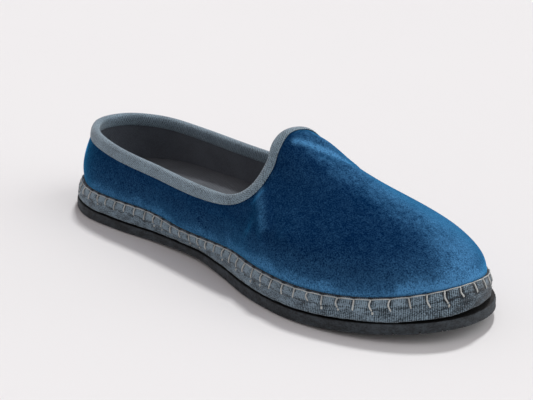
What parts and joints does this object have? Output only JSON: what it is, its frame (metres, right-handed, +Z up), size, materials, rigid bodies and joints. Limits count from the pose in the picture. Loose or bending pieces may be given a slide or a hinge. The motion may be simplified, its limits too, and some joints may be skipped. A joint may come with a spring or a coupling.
{
  "type": "friulana slipper",
  "caption": "Closed-heel velvet slip-on for the left foot, with a tape-bound collar that rises to a peak, a quilted cloth midsole with a woven edge and a tyre-rubber outsole.",
  "frame": {"origin": "on the floor, under the middle of the shoe's box", "axes": "+X from heel to toe, +Y to the outer side of the foot, +Z up"},
  "size_m": [0.268, 0.0911, 0.0663],
  "materials": {
    "rubber": "matte tyre rubber with a fine tread",
    "band_cloth": "woven grey cloth with blanket stitches",
    "sock_cloth": "plain woven cotton",
    "velvet": "deep blue velvet with a short mottled nap",
    "tape": "grey woven tape"
  },
  "bodies": {
    "root": {"outsole": "rubber", "cloth_midsole": "band_cloth", "insole": "sock_cloth", "upper": "velvet", "collar_binding": "tape"}
  },
  "joints": []
}
